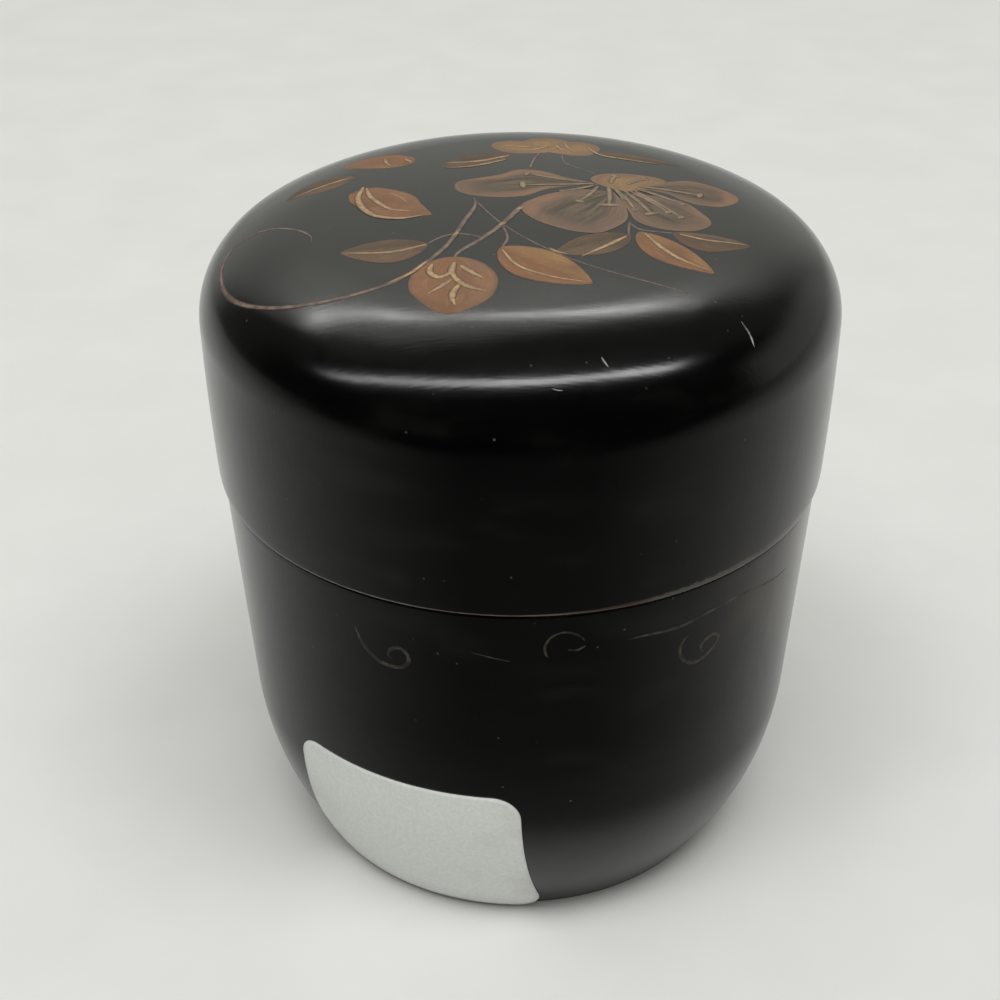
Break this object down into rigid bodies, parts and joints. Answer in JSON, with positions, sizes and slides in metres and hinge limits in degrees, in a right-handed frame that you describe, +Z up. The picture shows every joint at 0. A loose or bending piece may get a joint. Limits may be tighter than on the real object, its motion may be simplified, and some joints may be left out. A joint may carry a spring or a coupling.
{
  "type": "natsume tea caddy",
  "caption": "Round turned wooden tea caddy with a domed lid that lifts off a raised inner collar, black lacquer, rounded heel and flat foot ring.",
  "frame": {"origin": "centre of the foot, in the plane of the foot ring", "axes": "+Z up along the axis that the cup and the lid were turned about; the front seen in the picture faces -Y"},
  "size_m": [0.066, 0.066, 0.0729],
  "materials": {
    "cup_lacquer": "black lacquer over turned wood, semi-gloss",
    "lid_lacquer": "black lacquer over turned wood, semi-gloss, with a raised lacquer and gold flower spray",
    "label_paper": "matt white self-adhesive paper, blank"
  },
  "bodies": {
    "cup": {"body": "cup_lacquer", "paper_label": "label_paper"},
    "lid": {"lid": "lid_lacquer"}
  },
  "joints": [
    {"name": "lid_lift", "type": "slide", "parent": "cup", "child": "lid", "axis": [0, 0, 1], "range_m": [0, 0.03]}
  ]
}
